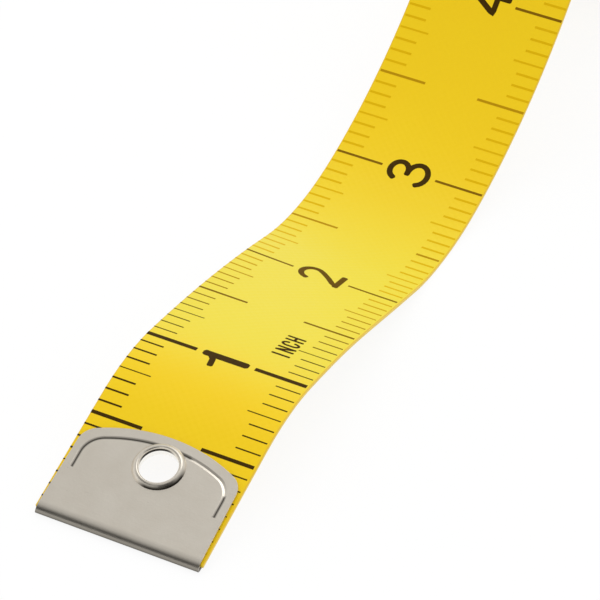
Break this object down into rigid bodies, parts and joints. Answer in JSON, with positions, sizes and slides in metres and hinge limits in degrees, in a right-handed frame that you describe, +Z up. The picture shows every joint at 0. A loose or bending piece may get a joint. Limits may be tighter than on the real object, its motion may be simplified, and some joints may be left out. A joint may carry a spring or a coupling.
{
  "type": "cloth tape measure",
  "caption": "Flexible cloth tape measure: a coated, printed strip with a folded metal tip and a hanging eyelet, lying in a low wave in front of its own roll.",
  "frame": {"origin": "on the ground under the middle of the part's length, midway across the strip", "axes": "+X along the strip from the tip to the roll, +Y across the strip, +Z up from the ground"},
  "size_m": [0.1606, 0.019, 0.0428],
  "materials": {
    "coated_cloth": "yellow coated cloth, soft sheen, dark printed scale",
    "nickel_plate": "satin nickel plate on folded sheet steel"
  },
  "bodies": {
    "roll": {"tape_roll": "coated_cloth", "tail_clip": "nickel_plate"},
    "rise": {"tape_rise": "coated_cloth"},
    "valley": {"tape_valley": "coated_cloth"},
    "slope": {"tape_slope": "coated_cloth"},
    "crest": {"tape_crest": "coated_cloth"},
    "tip": {"tape_end": "coated_cloth", "tip_shell": "nickel_plate", "tip_eyelet": "nickel_plate"}
  },
  "joints": [
    {"name": "run_flex", "type": "hinge", "parent": "roll", "child": "rise", "pos_m": [0.0319, 0, 0.02896], "axis": [0, 1, 0], "range_deg": [-30, 45], "stiffness_Nm_per_rad": 0.006},
    {"name": "rise_flex", "type": "hinge", "parent": "rise", "child": "valley", "pos_m": [0.0057, 0, 0.0072], "axis": [0, 1, 0], "range_deg": [-45, 45], "stiffness_Nm_per_rad": 0.006},
    {"name": "valley_flex", "type": "hinge", "parent": "valley", "child": "slope", "pos_m": [-0.01663, 0, 0.00022], "axis": [0, 1, 0], "range_deg": [-45, 45], "stiffness_Nm_per_rad": 0.006},
    {"name": "slope_flex", "type": "hinge", "parent": "slope", "child": "crest", "pos_m": [-0.04017, 0, 0.00464], "axis": [0, 1, 0], "range_deg": [-45, 45], "stiffness_Nm_per_rad": 0.006},
    {"name": "crest_flex", "type": "hinge", "parent": "crest", "child": "tip", "pos_m": [-0.06049, 0, 0.00681], "axis": [0, 1, 0], "range_deg": [-60, 60], "stiffness_Nm_per_rad": 0.006}
  ]
}
